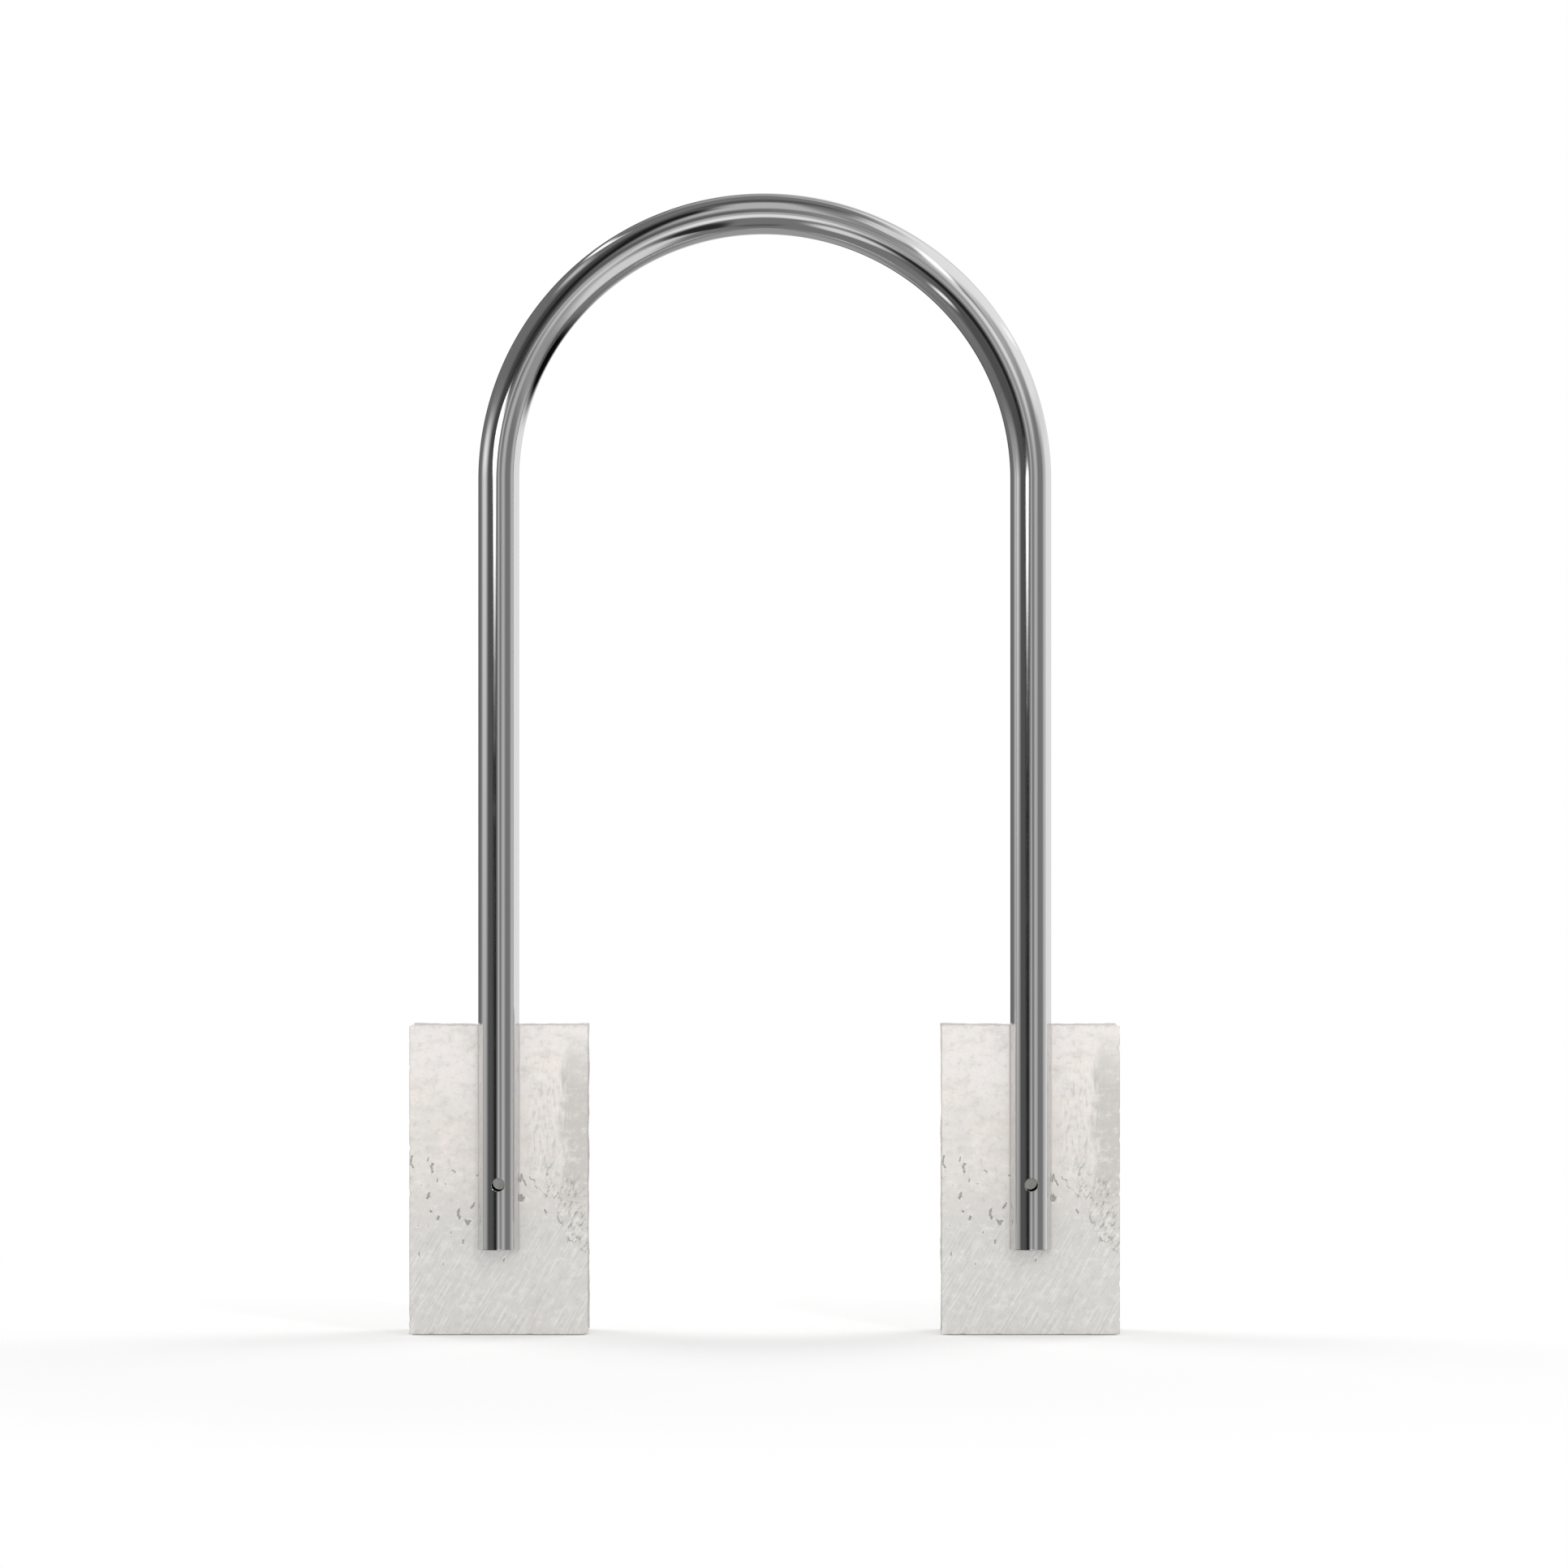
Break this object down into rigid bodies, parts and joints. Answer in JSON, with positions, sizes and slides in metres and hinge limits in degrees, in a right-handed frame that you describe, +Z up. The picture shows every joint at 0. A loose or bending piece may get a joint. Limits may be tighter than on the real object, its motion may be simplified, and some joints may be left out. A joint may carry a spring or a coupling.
{
  "type": "hoop bike rack",
  "caption": "Bent stainless steel hoop for leaning and locking bicycles, its cross-drilled open legs set in concrete footings that are cut open at the front.",
  "frame": {"origin": "ground level, midway between the legs, in the plane of the hoop", "axes": "+Z up, +X from the left leg to the right leg, +Y to the back, into the concrete of the footings"},
  "size_m": [0.87, 0.135, 1.3948],
  "materials": {
    "polished_stainless": "mirror-polished stainless steel, bare",
    "cast_concrete": "pale cast concrete, trowelled and raked, with pits and chips"
  },
  "bodies": {
    "root": {"hoop_tube": "polished_stainless", "left_footing": "cast_concrete", "right_footing": "cast_concrete"}
  },
  "joints": []
}
